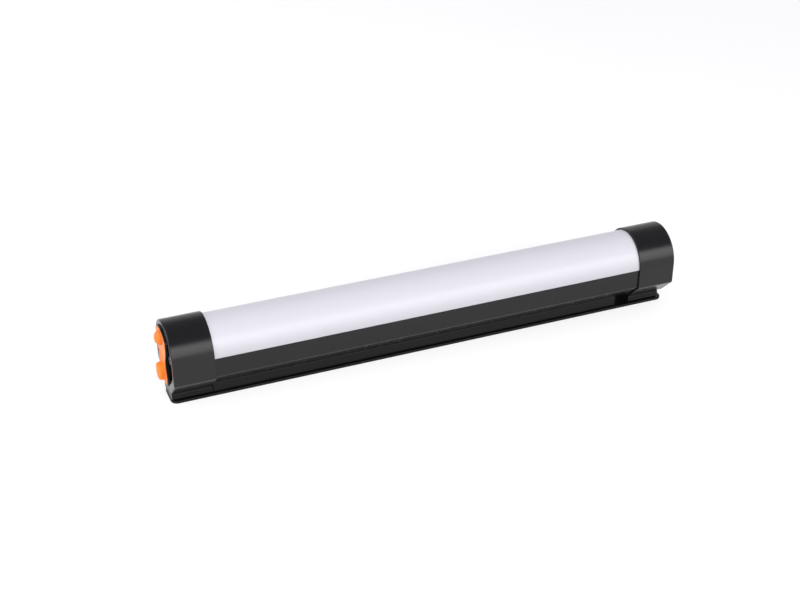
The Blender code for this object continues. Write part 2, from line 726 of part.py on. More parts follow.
def build_battery(parts, sleeve, nickel, black):
    rim = 1.0 * MM
    half = CELL_LENGTH / 2
    pole = 3.2 * MM
    shoulder = half - 1.2 * MM
    for index, x in enumerate((-CELL_PITCH, 0.0, CELL_PITCH), 1):
        profile = [
            (0.0, half), (pole, half), (pole, shoulder), (CELL_RADIUS - rim, shoulder),
            (CELL_RADIUS, shoulder - rim), (CELL_RADIUS, -half + rim),
            (CELL_RADIUS - rim, -half), (0.0, -half),
        ]
        location = (x, 0.0, CELL_Z)
        turned(f"battery_cell_{index}", profile, location, (0.0, math.pi / 2, 0.0), parts, sleeve, 32)
    for index, x in enumerate((-CELL_PITCH / 2, CELL_PITCH / 2), 1):
        low = (x - 1.0 * MM, -4 * MM, CELL_Z - 4 * MM)
        high = (x + 1.0 * MM, 4 * MM, CELL_Z + 4 * MM)
        box(f"cell_contact_{index}", low, high, parts, nickel)

    inner_x = CELL_PITCH + half + 1 * MM
    inner_y = CELL_RADIUS + GAP
    outer_x = inner_x + TRAY_WALL
    outer = rectangle(-outer_x, -TRAY_HALF_WIDTH, outer_x, TRAY_HALF_WIDTH)
    inner = rectangle(-inner_x, -inner_y, inner_x, inner_y)
    extrude("battery_tray", [outer, inner], TRAY_LOW_Z, TRAY_HIGH_Z, ALONG_Z, parts, black)


def build_driver_board(parts, cutters, board_green):
    low = (-152 * MM, -11 * MM, 16.5 * MM)
    high = (-116 * MM, 11 * MM, 18.1 * MM)
    board = box("driver_board", low, high, parts, board_green)
    coil = extrude("driver_coil", [circle(-140 * MM, 3 * MM, 5 * MM)], 17 * MM, 23 * MM, ALONG_Z, cutters)
    chip = box("driver_chip", (-130 * MM, -4 * MM, 17.5 * MM), (-123 * MM, 4 * MM, 19.6 * MM), cutters)
    fuse(board, coil, chip)


def build_wire(name, points, parts, material):
    """A short insulated lead along hand-placed points."""
    curve = bpy.data.curves.new(name, "CURVE")
    curve.dimensions = "3D"
    curve.bevel_depth = WIRE_RADIUS
    curve.bevel_resolution = 2
    curve.use_fill_caps = True
    spline = curve.splines.new("POLY")
    smooth = smooth_path(points)
    spline.points.add(len(smooth) - 1)
    for point, place in zip(spline.points, smooth):
        point.co = (*[value * MM for value in place], 1.0)
    curve.materials.append(material)
    wire = bpy.data.objects.new(name, curve)
    parts.objects.link(wire)


def smooth_path(points, per_span=4):
    """A Catmull-Rom curve through the points."""
    padded = [points[0]] + list(points) + [points[-1]]
    path = []
    for index in range(len(points) - 1):
        p0, p1, p2, p3 = padded[index:index + 4]
        for step in range(per_span):
            t = step / per_span
            place = []
            for a, b, c, d in zip(p0, p1, p2, p3):
                linear = (c - a) * t
                square = (2 * a - 5 * b + 4 * c - d) * t * t
                cube = (3 * b - a - 3 * c + d) * t ** 3
                place.append(0.5 * (2 * b + linear + square + cube))
            path.append(tuple(place))
    path.append(points[-1])
    return path


def build_wiring(parts, red, black):
    """The battery leads over the tray's end, and the lead up to the light board; points in mm."""
    battery_route = [(-103.6, 20.5), (-106, 20.6), (-109, 21), (-112, 20.5), (-115, 19.8), (-118, 19.4)]
    for name, y, material in (("positive", 4, red), ("negative", -7, black)):
        points = [(x, y, z) for x, z in battery_route]
        build_wire("battery_lead_" + name, points, parts, material)
    light_route = [
        (-150.5, 19.1), (-153, 19.4), (-158, 20.5), (-160.8, 24), (-161.2, 29),
        (-161, 33), (-159, 35.2), (-156.5, 35.4), (-154.5, 34.8),
    ]
    build_wire("led_lead", [(x, -6, z) for x, z in light_route], parts, red)


def main():
    clear_scene()
    parts = new_collection("led_light_tube")
    cutters = new_collection("cutters")
    cutters.hide_render = True

    cap_black = make_material("cap_black", (0.016, 0.016, 0.018), 0.32)
    body_black = make_material("body_black", (0.02, 0.02, 0.021), 0.42)
    base_black = make_material("base_black", (0.014, 0.014, 0.015), 0.45)
    opal = make_material("diffuser_opal", (0.8, 0.8, 0.84), 0.3)
    orange = make_material("orange_plastic", (1.0, 0.24, 0.035), 0.38)
    orange_rubber = make_material("orange_rubber", (1.0, 0.26, 0.04), 0.55)
    rubber = make_material("seal_rubber", (0.02, 0.02, 0.02), 0.8)
    inner_black = make_material("inner_black", (0.03, 0.03, 0.03), 0.6)
    steel = make_material("steel", (0.5, 0.5, 0.52), 0.3, 1.0)
    nickel = make_material("nickel", (0.65, 0.63, 0.58), 0.3, 1.0)
    aluminium = make_material("aluminium", (0.75, 0.75, 0.76), 0.4, 1.0)
    board_white = make_material("board_white", (0.8, 0.8, 0.78), 0.5)
    board_green = make_material("board_green", (0.02, 0.12, 0.05), 0.5)
    sleeve = make_material("cell_sleeve", (0.05, 0.16, 0.35), 0.4)
    wire_red = make_material("wire_red", (0.5, 0.02, 0.02), 0.5)

    build_channel(parts, body_black)
    build_diffuser(parts, opal)
    caps = {}
    for label, side in (("left", -1), ("right", 1)):
        caps[side] = build_cap(label + "_end_cap", side, parts, cutters, cap_black)
        build_gasket(label + "_gasket", side, parts, rubber)
        build_bulkhead(label + "_bulkhead", side, parts, cutters, inner_black)
        for index, y in enumerate((-CAP_SCREW_Y, CAP_SCREW_Y), 1):
            build_cap_screw(f"{label}_cap_screw_{index}", side, y, parts, cutters, steel)
    build_base(parts, cutters, base_black, steel, nickel)
    palette = (cap_black, orange, orange_rubber, steel, board_green, inner_black)
    build_control_end(parts, cutters, caps[-1], *palette)
    build_end_blank(parts, cap_black)
    build_light_engine(parts, cutters, aluminium, board_white, inner_black)
    build_battery(parts, sleeve, nickel, inner_black)
    build_driver_board(parts, cutters, board_green)
    build_wiring(parts, wire_red, inner_black)


main()
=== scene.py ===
import json
import math

import bmesh
import bpy
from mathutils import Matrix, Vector


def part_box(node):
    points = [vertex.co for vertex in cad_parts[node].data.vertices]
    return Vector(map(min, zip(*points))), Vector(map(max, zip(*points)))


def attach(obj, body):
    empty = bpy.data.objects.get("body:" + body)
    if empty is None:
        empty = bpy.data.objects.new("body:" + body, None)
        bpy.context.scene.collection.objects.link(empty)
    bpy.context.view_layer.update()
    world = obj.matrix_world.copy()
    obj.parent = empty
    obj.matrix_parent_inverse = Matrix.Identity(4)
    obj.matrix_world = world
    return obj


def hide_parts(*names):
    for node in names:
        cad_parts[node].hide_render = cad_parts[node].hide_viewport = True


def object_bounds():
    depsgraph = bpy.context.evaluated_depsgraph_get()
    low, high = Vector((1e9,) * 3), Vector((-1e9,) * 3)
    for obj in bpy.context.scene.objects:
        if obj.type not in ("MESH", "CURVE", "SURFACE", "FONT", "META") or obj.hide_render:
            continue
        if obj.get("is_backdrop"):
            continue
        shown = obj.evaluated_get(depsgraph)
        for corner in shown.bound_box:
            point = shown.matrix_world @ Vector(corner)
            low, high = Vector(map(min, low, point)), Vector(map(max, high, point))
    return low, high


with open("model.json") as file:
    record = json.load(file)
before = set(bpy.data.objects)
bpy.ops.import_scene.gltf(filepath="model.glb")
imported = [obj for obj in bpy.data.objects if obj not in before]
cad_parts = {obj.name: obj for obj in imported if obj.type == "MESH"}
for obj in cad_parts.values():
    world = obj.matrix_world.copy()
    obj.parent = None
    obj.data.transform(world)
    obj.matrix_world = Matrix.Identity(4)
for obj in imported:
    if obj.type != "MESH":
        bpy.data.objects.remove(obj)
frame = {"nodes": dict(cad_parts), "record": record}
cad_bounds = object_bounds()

MM = 0.001
SEAT = 0.05 * MM

# Places taken from the frame
CAP_LOW, CAP_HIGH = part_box("left_end_cap")
BODY_LOW, BODY_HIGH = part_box("body_channel")
HALF_LENGTH = -CAP_LOW.x
CAP_RADIUS = CAP_HIGH.y
AXIS_Z = CAP_HIGH.z - CAP_RADIUS
CAP_FLOOR_Z = CAP_LOW.z
CAP_LENGTH = CAP_HIGH.x - CAP_LOW.x
BODY_RADIUS = BODY_HIGH.y
BODY_FLOOR_Z = BODY_LOW.z
BODY_END = BODY_HIGH.x
STEP_IN = CAP_RADIUS - BODY_RADIUS
BEZEL_TOP_HALF_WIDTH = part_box("end_bezel")[1].y

# End caps
CAP_CORNER_Z = 20.0 * MM
CAP_CORNER_ROUND = 2.5 * MM
CAP_LEAST_CORNER_ROUND = 0.6 * MM
CAP_EDGE_ROUND = 0.9 * MM
CAP_INNER_EDGE_ROUND = 0.35 * MM
RIM_WIDTH = 3.0 * MM
RIM_SLOPE_WIDTH = 5.5 * MM
RIM_EDGE_ROUND = 0.35 * MM
RECESS_DEPTH = 2.0 * MM
RECESS_FLOOR_ROUND = 0.4 * MM
END_WALL = 2.0 * MM
PANEL_HOLE_ROUND = 0.3 * MM

# Channel
WALL = 1.8 * MM
CHANNEL_FLOOR = 1.2 * MM
BODY_CORNER_ROUND = 1.6 * MM
CHANNEL_INNER_ROUND = 0.4 * MM
SEAM_GAP = 0.16 * MM
SEAM_ROUND = 0.3 * MM
LEDGE_DROP = 3.3 * MM
LEDGE_WIDTH = 1.8 * MM
LEDGE_THICKNESS = 1.5 * MM
LEDGE_ROOT_THICKNESS = 3.3 * MM
LEDGE_ROUND = 0.1 * MM

# Diffuser, whose two lips reach down inside the channel's walls
DIFFUSER_WALL = 2.0 * MM
LIP_DEPTH = 1.2 * MM
LIP_WIDTH = 1.5 * MM
LIP_CLEARANCE = 0.3 * MM
LIP_EDGE_ROUND = 0.2 * MM
# Painted shade: the diffuser's colour is multiplied by this factor at its seam with the channel, and it
# fades out over this height above the seam
SEAM_SHADE = 0.77
SEAM_SHADE_HEIGHT = 12.0 * MM

# Base
RAIL_CORNER = 4.5 * MM
RAIL_EDGE_ROUND = 0.55 * MM
SPINE_LEAN = 0.5 * MM
SPINE_FOOT_ROUND = 0.2 * MM
SPINE_TOP_ROUND = 1.1 * MM
SPINE_SHOULDER_ROUND = 1.5 * MM
SPINE_SHOULDER_DROP = 1.5 * SPINE_TOP_ROUND
SPINE_LEFT_END_ROUND = 0.3 * MM
SPINE_RIGHT_END_ROUND = 0.8 * MM
RISER_TOP_ROUND = 1.1 * MM
RISER_UNDERCUT_Z = 3.2 * MM
RISER_UNDERCUT_DEPTH = 1.2 * MM
RISER_UNDERCUT_SLOPE = 0.4 * MM
RISER_UNDERCUT_ROUND = 0.3 * MM
RISER_OUTER_END_ROUND = 0.5 * MM
RISER_INNER_END_ROUND = 0.3 * MM

# Screws
SCREW_SIDES = 48
HEX_SIDES = 6
HEX_EDGE_ROUND = 0.15 * MM
SINK_RADIUS = 3.2 * MM
SINK_HOLE_RADIUS = 1.45 * MM
SINK_HOLE_DEPTH = 7.0 * MM
RAIL_SCREW_SHANK_RADIUS = 1.3 * MM
RAIL_SCREW_FACE_CHAMFER = 0.1 * MM
RAIL_SCREW_TIP_LENGTH = 0.5 * MM
RAIL_SCREW_TIP_TAPER = 0.4 * MM
RAIL_SCREW_HEX_RADIUS = 1.1 * MM
RAIL_SCREW_HEX_DEPTH = 1.2 * MM
CAP_SCREW_SHANK_RADIUS = 1.5 * MM
CAP_SCREW_HEAD_ROUND = 0.7 * MM
CAP_SCREW_HEX_RADIUS = 1.2 * MM
CAP_SCREW_HEX_DEPTH = 1.0 * MM

# End plates: the orange bezel, the black base that it is let into, and the far end's blank
BEZEL_WAIST_HALF_WIDTH = 6.8 * MM
BEZEL_FOOT_HALF_WIDTH = 9.3 * MM
BEZEL_SHOULDER_Z = 40.0 * MM
BEZEL_WAIST_Z = 29.5 * MM
BEZEL_HIP_Z = 22.0 * MM
BEZEL_BOTTOM_ROUND = 6.5 * MM
BEZEL_HIP_ROUND = 14.0 * MM
BEZEL_WAIST_ROUND = 12.0 * MM
BEZEL_TOP_ROUND = 2.0 * MM
BEZEL_EDGE_ROUND = 0.3 * MM
BEZEL_PROUD_OF_LIP = 0.25 * MM
BEZEL_LIP_ROUND = 0.2 * MM
BLANK_EDGE_ROUND = 0.5 * MM
OPENING_ROUND = 0.3 * MM
RUNNING_GAP = 0.25 * MM

# Port cover and its pull tab
COVER_CORNER = 1.6 * MM
COVER_HINGE_CORNER = 0.4 * MM
COVER_EDGE_ROUND = 0.85 * MM
TAB_HALF_WIDTH = 4.8 * MM
TAB_TOP_Z = 26.6 * MM
TAB_FOOT_ABOVE_COVER = 0.3 * MM
TAB_CORNER = 3.8 * MM
TAB_EDGE_ROUND = 1.9 * MM
TAB_DOME = 0.25 * MM
TAB_ROOT = 1.0 * MM

# Button
BUTTON_EDGE_ROUND = 3.4 * MM
BUTTON_DOME = 0.2 * MM
BUTTON_BACK_DEPTH = 0.9 * MM
STEM_RADIUS = 1.6 * MM
STEM_GAP = 0.4 * MM

# Charging receptacle, whose floor closes in to a small core, and its tongue
RECEPTACLE_WALL = 0.35 * MM
RECEPTACLE_FLOOR = 1.0 * MM
RECEPTACLE_FLOOR_CORE = 0.1 * MM
TONGUE_HALF_WIDTH = 3.3 * MM
TONGUE_HALF_THICKNESS = 0.35 * MM
TONGUE_CORNER = 0.2 * MM
TONGUE_SET_BACK = 0.6 * MM
TONGUE_ROOT = 0.9 * MM
TONGUE_TIP_ROUND = 0.15 * MM

# Fineness of the meshes
CROWN_STEPS = 96
ROUND_STEPS = 6
OBROUND_STEPS = 32
CIRCLE_SIDES = 64
BUTTON_SIDES = 96
BUTTON_DOME_RINGS = 9
TAB_DOME_RINGS = 6
TAB_EDGE_STEPS = 10
BEZEL_CROWN_STEPS = 48
BEZEL_CORNER_STEPS = 12
BEZEL_CROWN_MARGIN = 4
SMOOTH_ANGLE = 32.0
CUT_OVERRUN = 1.0 * MM

# Most values of a noise texture lie between these
NOISE_LOW = 0.3
NOISE_HIGH = 0.7

# Studio, in metres and degrees; a radiance is in watts per steradian and square metre
FLOOR_SIZE = 12.0
FLOOR_GLOW = 0.40
FLOOR_SHADES = (0.61, 0.63)
FLOOR_CLOUDS_PER_METRE = 3.0
SKY_STRENGTH = 0.74
SKY_OVERHEAD = 0.48
SKY_OVERHEAD_BLUE = 1.12
SKY_HORIZON_TOP = 28.0
SKY_FADE_END = 38.0
SOFTBOX_DISTANCE = 1.5
SOFTBOX_WIDTH = 4.0
SOFTBOX_MIDDLE_X = 0.5
SOFTBOX_EDGES = (6.0, 21.0, 43.0)
SOFTBOX_RADIANCE = (1.9, 2.6)
FILL_PLACE = (-1.4, 0.2, 1.7)
FILL_SIZE = 1.8
FILL_RADIANCE = 3.1
CAMERA_PLACE = (-332.0 * MM, -776.6 * MM, 529.6 * MM)
CAMERA_DOWN = 30.78
CAMERA_TURN = -21.96
CAMERA_NEAR = 10.0 * MM
CAMERA_LENS_MM = 65.25
SENSOR_WIDTH_MM = 36.0


# ---------------------------------------------------------------- outlines

def arc(centre, radius, start, end, steps):
    """Points on a circle from one angle to another, in degrees, both ends included."""
    points = []
    for index in range(steps + 1):
        angle = math.radians(start + (end - start) * index / steps)
        points.append((centre[0] + radius * math.cos(angle), centre[1] + radius * math.sin(angle)))
    return points


def fillet(corners, steps=ROUND_STEPS):
    """A closed outline from (u, v, radius) corners, each rounded by its own radius."""
    points = []
    count = len(corners)
    for index, (u, v, radius) in enumerate(corners):
        if radius <= 0.0:
            points.append((u, v))
            continue
        before = corners[index - 1]
        after = corners[(index + 1) % count]
        in_angle = math.atan2(before[1] - v, before[0] - u)
        out_angle = math.atan2(after[1] - v, after[0] - u)
        turn = (out_angle - in_angle + math.pi) % (2 * math.pi) - math.pi
        reach = radius / math.tan(abs(turn) / 2)
        middle = in_angle + turn / 2
        centre_distance = radius / math.sin(abs(turn) / 2)
        centre = (u + centre_distance * math.cos(middle), v + centre_distance * math.sin(middle))
        first = (u + reach * math.cos(in_angle), v + reach * math.sin(in_angle))
        last = (u + reach * math.cos(out_angle), v + reach * math.sin(out_angle))
        a0 = math.atan2(first[1] - centre[1], first[0] - centre[0])
        a1 = math.atan2(last[1] - centre[1], last[0] - centre[0])
        sweep = (a1 - a0 + math.pi) % (2 * math.pi) - math.pi
        points += arc(centre, radius, math.degrees(a0), math.degrees(a0 + sweep), steps)
    return points


def rectangle(u0, v0, u1, v1, radius, inset):
    """A rounded rectangle moved inwards by inset; its corners keep at least a trace of roundness."""
    corner = max(radius - inset, SEAT)
    u0, v0, u1, v1 = u0 + inset, v0 + inset, u1 - inset, v1 - inset
    return fillet([(u0, v0, corner), (u1, v0, corner), (u1, v1, corner), (u0, v1, corner)])


def obround(centre_z, half_width, half_height, inset):
    """A flat slot shape moved inwards by inset: two half circles joined by straight sides."""
    radius = half_height - inset
    straight = half_width - half_height
    left = arc((-straight, centre_z), radius, 90, 270, OBROUND_STEPS)
    return left + arc((straight, centre_z), radius, -90, 90, OBROUND_STEPS)


def circle(centre_u, centre_v, radius, sides=CIRCLE_SIDES):
    return arc((centre_u, centre_v), radius, 0, 360, sides)[:-1]


def slope_shift(offset):
    """How far y runs ahead of z on the 45 degree underside, moved inwards by offset."""
    return CAP_RADIUS - CAP_CORNER_Z - offset * math.sqrt(2)


def hull_section(offset, floor_z, corner_round, slope_offset=None):
    """The tube's section moved inwards by offset: round top, straight sides, sloped underside.
    The slope may be moved in further than the rest."""
    half_width = CAP_RADIUS - offset
    shift = slope_shift(offset if slope_offset is None else slope_offset)
    corner_z = half_width - shift
    floor_y = floor_z + shift
    corners = [
        (-half_width, AXIS_Z, 0.0),
        (-half_width, corner_z, corner_round),
        (-floor_y, floor_z, corner_round / 2),
        (floor_y, floor_z, corner_round / 2),
        (half_width, corner_z, corner_round),
        (half_width, AXIS_Z, 0.0),
    ]
    crown = arc((0.0, AXIS_Z), half_width, 0, 180, CROWN_STEPS)
    return fillet(corners) + crown[1:-1]


def bezel_outline(low, high, inset):
    """The end plates' waisted shape, moved inwards by inset: a round top, a waist and a foot."""
    radius = high.z - AXIS_Z - inset
    top = high.y - inset
    waist = BEZEL_WAIST_HALF_WIDTH + high.y - BEZEL_TOP_HALF_WIDTH - inset
    foot = BEZEL_FOOT_HALF_WIDTH + high.y - BEZEL_TOP_HALF_WIDTH - inset
    angle = math.degrees(math.acos(top / radius))
    crown = arc((0.0, AXIS_Z), radius, angle, 180 - angle, BEZEL_CROWN_STEPS)
    right = [
        (foot, low.z + inset, BEZEL_BOTTOM_ROUND - inset),
        (foot, BEZEL_HIP_Z, BEZEL_HIP_ROUND - inset),
        (waist, BEZEL_WAIST_Z, BEZEL_WAIST_ROUND + inset),
        (top, BEZEL_SHOULDER_Z, BEZEL_HIP_ROUND - inset),
        (*crown[0], BEZEL_TOP_ROUND - inset),
    ]
    left = [(-y, z, corner) for y, z, corner in reversed(right)]
    # The crown's outermost points make way for the rounded top corners
    middle = crown[BEZEL_CROWN_MARGIN:-BEZEL_CROWN_MARGIN]
    return fillet(right + [(y, z, 0.0) for y, z in middle] + left, BEZEL_CORNER_STEPS)


# ---------------------------------------------------------------- solids

def across(u, v, station):
    """Outline in the plane across the tube; stations run along it."""
    return (station, u, v)


def level(u, v, station):
    """Outline in the horizontal plane; stations run upwards."""
    return (u, v, station)


def round_edge(radius, steps=ROUND_STEPS):
    """(depth below the face, distance in from the side) round an edge, from the face to the side."""
    pairs = []
    for index in range(steps + 1):
        angle = math.pi / 2 * index / steps
        pairs.append((radius * (1 - math.cos(angle)), radius * (1 - math.sin(angle))))
    return pairs


def block_path(start, end, start_round, end_round):
    """(station, inset) pairs of a block between two stations, with both its ends' edges rounded."""
    way = math.copysign(1.0, end - start)
    path = [(start + way * depth, inset) for depth, inset in round_edge(start_round)]
    return path + [(end - way * depth, inset) for depth, inset in reversed(round_edge(end_round))]


def dome_path(top, half_width, dome, edge_round, rings, edge_steps=ROUND_STEPS):
    """(station, inset) pairs of a shallow dome that ends in a rounded edge, from its crown."""
    reach = half_width - edge_round
    path = []
    for index in range(1, rings):
        share = index / rings
        path.append((top + dome * share ** 2, edge_round + reach * (1 - share)))
    shoulder = top + dome
    return path + [(shoulder + depth, inset) for depth, inset in round_edge(edge_round, edge_steps)]


def flare_path(face, back, radius):
    """(station, inset) pairs of a cutter that leaves a rounded edge where it enters at the face."""
    way = math.copysign(1.0, back - face)
    path = [(face - way * radius, -radius)]
    path += [(face + way * depth, -inset) for depth, inset in round_edge(radius)]
    return path + [(back, 0.0)]


def skin(name, rings, closed=False):
    """A mesh object through rings of points; open ends are filled with a face."""
    builder = bmesh.new()
    loops = [[builder.verts.new(point) for point in ring] for ring in rings]
    pairs = list(zip(loops, loops[1:]))
    if closed:
        pairs.append((loops[-1], loops[0]))
    else:
        builder.faces.new(loops[0])
        builder.faces.new(loops[-1])
    for near, far in pairs:
        for index in range(len(near)):
            after = (index + 1) % len(near)
            builder.faces.new((near[index], near[after], far[after], far[index]))
    bmesh.ops.recalc_face_normals(builder, faces=builder.faces)
    mesh = bpy.data.meshes.new(name)
    builder.to_mesh(mesh)
    builder.free()
    piece = bpy.data.objects.new(name, mesh)
    bpy.context.scene.collection.objects.link(piece)
    return piece


def loft(name, outline_at, path, place=across, closed=False):
    """A mesh whose outline, moved inwards by each inset, lies at each station of the path."""
    rings = [[place(u, v, station) for u, v in outline_at(inset)] for station, inset in path]
    return skin(name, rings, closed)


def combine(piece, operation, *tools):
    """Adds the tools to the piece or cuts them out of it, and removes them."""
    for tool in tools:
        modifier = piece.modifiers.new("combine", "BOOLEAN")
        modifier.operation = operation
        modifier.object = tool
        modifier.solver = "EXACT"
    bpy.context.view_layer.update()
    depsgraph = bpy.context.evaluated_depsgraph_get()
    mesh = bpy.data.meshes.new_from_object(piece.evaluated_get(depsgraph))
    piece.modifiers.clear()
    piece.data = mesh
    for tool in tools:
        bpy.data.objects.remove(tool)


def cut(piece, *tools):
    combine(piece, "DIFFERENCE", *tools)


def fuse(piece, *tools):
    combine(piece, "UNION", *tools)


def show(piece, slot, body="tube", nodes=()):
    """Gives the piece its finish and body, and lets it stand for its CAD nodes."""
    piece.data.materials.clear()
    piece.data.materials.append(FINISHES[slot])
    piece.data.shade_smooth()
    piece.data.set_sharp_from_angle(angle=math.radians(SMOOTH_ANGLE))
    normals = piece.modifiers.new("normals", "WEIGHTED_NORMAL")
    normals.keep_sharp = True
    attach(piece, body)
    if nodes:
        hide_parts(*nodes)
    return piece


# ---------------------------------------------------------------- finishes

class Finish:
    """A procedural material: its shader, and the textures that vary its colour, gloss and relief."""

    def __init__(self, name, **values):
        self.material = bpy.data.materials.new(name)
        self.material.use_nodes = True
        self.tree = self.material.node_tree
        self.shader = self.tree.nodes["Principled BSDF"]
        self.coordinates = self.tree.nodes.new("ShaderNodeTexCoord").outputs["Object"]
        self.relief = None
        for socket, value in values.items():
            self.shader.inputs[socket.replace("_", " ")].default_value = value

    def add(self, kind, **values):
        node = self.tree.nodes.new(kind)
        for socket, value in values.items():
            node.inputs[socket.replace("_", " ")].default_value = value
        return node

    def place(self, stretch):
        """Surface coordinates scaled to texture cells per metre along X, Y and Z."""
        mapping = self.add("ShaderNodeMapping", Scale=stretch)
        self.tree.links.new(self.coordinates, mapping.inputs["Vector"])
        return mapping.outputs["Vector"]

    def noise(self, stretch, detail=3.0, roughness=0.55):
        node = self.add("ShaderNodeTexNoise", Scale=1.0, Detail=detail, Roughness=roughness)
        self.tree.links.new(self.place(stretch), node.inputs["Vector"])
        return node.outputs["Fac"]

    def cells(self, stretch, feature="F1"):
        node = self.add("ShaderNodeTexVoronoi", Scale=1.0)
        node.feature = feature
        self.tree.links.new(self.place(stretch), node.inputs["Vector"])
        return node.outputs["Distance"]

    def height(self, low, high):
        """0 at the low height and below, 1 at the high one and above."""
        split = self.add("ShaderNodeSeparateXYZ")
        self.tree.links.new(self.coordinates, split.inputs["Vector"])
        spread = self.add("ShaderNodeMapRange", From_Min=low, From_Max=high)
        self.tree.links.new(split.outputs["Z"], spread.inputs["Value"])
        return spread.outputs["Result"]

    def blend(self, pattern, detail, share):
        """The pattern plus a share of a finer one."""
        node = self.tree.nodes.new("ShaderNodeMath")
        node.operation = "MULTIPLY_ADD"
        node.inputs[1].default_value = share
        self.tree.links.new(detail, node.inputs[0])
        self.tree.links.new(pattern, node.inputs[2])
        return node.outputs["Value"]

    def colour(self, pattern, first, second, low=NOISE_LOW, high=NOISE_HIGH):
        """The base colour: the first where the pattern is low, fading to the second."""
        ramp = self.add("ShaderNodeValToRGB")
        ramp.color_ramp.elements[0].position = low
        ramp.color_ramp.elements[0].color = (*first, 1.0)
        ramp.color_ramp.elements[1].position = high
        ramp.color_ramp.elements[1].color = (*second, 1.0)
        self.tree.links.new(pattern, ramp.inputs["Fac"])
        self.tree.links.new(ramp.outputs["Color"], self.shader.inputs["Base Color"])

    def gloss(self, pattern, low, high):
        """The roughness, which follows the pattern from low to high."""
        spread = self.add(
            "ShaderNodeMapRange", From_Min=NOISE_LOW, From_Max=NOISE_HIGH, To_Min=low, To_Max=high)
        self.tree.links.new(pattern, spread.inputs["Value"])
        self.tree.links.new(spread.outputs["Result"], self.shader.inputs["Roughness"])

    def bump(self, pattern, height, strength=1.0):
        """Relief of the given height in metres, on top of any relief added before."""
        node = self.add("ShaderNodeBump", Strength=strength, Distance=height)
        self.tree.links.new(pattern, node.inputs["Height"])
        if self.relief is not None:
            self.tree.links.new(self.relief, node.inputs["Normal"])
        self.relief = node.outputs["Normal"]
        self.tree.links.new(self.relief, self.shader.inputs["Normal"])


def per_mm(along, across_it, up):
    """Texture cells per metre from cell sizes in millimetres along X, Y and Z."""
    return (1 / (along * MM), 1 / (across_it * MM), 1 / (up * MM))


def shades(colour, spread):
    """Two colours, a little darker and a little lighter than the given one."""
    return tuple(c * (1 - spread) for c in colour), tuple(min(c * (1 + spread), 1.0) for c in colour)


def moulded_plastic(name, colour, roughness, grain_mm, grain_height, spread=0.18, **values):
    """Injection-moulded plastic: faint flow marks in colour and gloss over a fine eroded grain."""
    finish = Finish(name, **values)
    flow = finish.noise(per_mm(22, 9, 9), detail=4.0)
    finish.colour(flow, *shades(colour, spread))
    finish.gloss(finish.noise(per_mm(6, 4, 4), detail=5.0), roughness * 0.9, roughness * 1.12)
    grain = finish.noise(per_mm(grain_mm, grain_mm, grain_mm), detail=2.0)
    finish.bump(grain, grain_height, strength=0.6)
    return finish.material


def opal_plastic(name, colour, roughness):
    """Extruded frosted opal: painted shade darkens its colour near its seam, where the housing stands
    close behind it, with drawn lines along the tube, faint clouding and a soft inner scatter."""
    finish = Finish(
        name, Subsurface_Weight=0.25, Subsurface_Radius=(1.0, 1.0, 1.1), Subsurface_Scale=1.2 * MM,
        IOR=1.49,
    )
    # Painted shade: the colour darkens towards the seam with the channel, with a share of random
    # clouding on top
    painted_seam_shade_mask = finish.height(AXIS_Z, AXIS_Z + SEAM_SHADE_HEIGHT)
    clouds = finish.noise(per_mm(60, 16, 16), detail=3.0)
    # The painted seam shade's colour: the base colour darkened by SEAM_SHADE
    edge = [SEAM_SHADE * value for value in colour]
    pattern = finish.blend(painted_seam_shade_mask, clouds, share=0.12)
    finish.colour(pattern, edge, colour, low=0.06, high=1.0)
    drawn = finish.noise(per_mm(160, 0.9, 0.9), detail=3.0)
    finish.gloss(drawn, roughness * 0.94, roughness * 1.06)
    finish.bump(drawn, 0.004 * MM, strength=0.35)
    finish.bump(finish.noise(per_mm(0.3, 0.3, 0.3), detail=2.0), 0.003 * MM, strength=0.4)
    return finish.material


def soft_rubber(name, colour, roughness, **values):
    """Moulded rubber: a matt skin with a slightly wavy surface, fine pores and lighter handled spots."""
    finish = Finish(name, **values)
    finish.colour(finish.noise(per_mm(5, 5, 5), detail=5.0), *shades(colour, spread=0.1))
    finish.gloss(finish.noise(per_mm(2.5, 2.5, 2.5), detail=4.0), roughness * 0.9, roughness * 1.1)
    finish.bump(finish.noise(per_mm(3, 3, 3), detail=2.0), 0.03 * MM, strength=0.3)
    finish.bump(finish.cells(per_mm(0.18, 0.18, 0.18)), 0.006 * MM, strength=0.4)
    return finish.material


def drawn_metal(name, colour, roughness, stretch):
    """Metal with brushed or drawn lines, whose stretch gives their size along X, Y and Z in mm."""
    finish = Finish(name, Metallic=1.0)
    lines = finish.noise(per_mm(*stretch), detail=6.0, roughness=0.7)
    finish.colour(finish.noise(per_mm(4, 4, 4), detail=4.0), *shades(colour, spread=0.12))
    finish.gloss(lines, roughness * 0.75, roughness * 1.3)
    finish.bump(lines, 0.004 * MM, strength=0.5)
    return finish.material


def circuit_board(name, mask, trace):
    """Solder mask over copper: paler tracks along cell borders and a slight orange-peel surface."""
    finish = Finish(name, Roughness=0.35)
    tracks = finish.cells(per_mm(2.2, 2.2, 2.2), feature="DISTANCE_TO_EDGE")
    finish.colour(tracks, trace, mask, low=0.06, high=0.1)
    finish.bump(tracks, 0.02 * MM, strength=0.3)
    finish.bump(finish.noise(per_mm(0.5, 0.5, 0.5)), 0.005 * MM, strength=0.3)
    return finish.material


